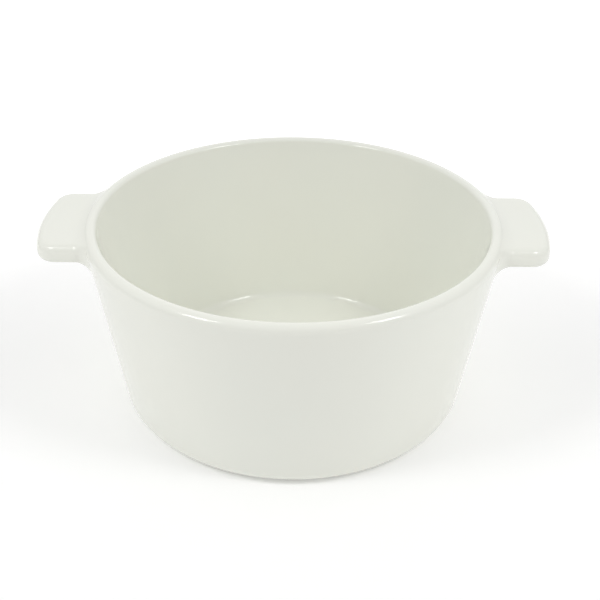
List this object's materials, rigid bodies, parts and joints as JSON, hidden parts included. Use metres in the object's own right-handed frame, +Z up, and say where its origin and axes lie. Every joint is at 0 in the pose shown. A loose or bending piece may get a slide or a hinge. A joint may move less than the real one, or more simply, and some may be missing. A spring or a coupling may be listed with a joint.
{
  "type": "round cooking pot",
  "caption": "Open round stovetop and oven pot in white glazed ceramic, with a flared wall, a rounded rim, a flat floor and flat lug handles level with the rim.",
  "frame": {"origin": "centre of the underside, on the plane that the foot ring stands on", "axes": "+Z up along the pot's axis, X through both handles with right_handle at +X, +Y away from the front"},
  "size_m": [0.296, 0.2426, 0.1155],
  "materials": {
    "body_glaze": "glossy warm white glaze, unglazed on the foot ring",
    "handle_glaze": "glossy warm white glaze"
  },
  "bodies": {
    "root": {"pot_body": "body_glaze", "left_handle": "handle_glaze", "right_handle": "handle_glaze"}
  },
  "joints": []
}
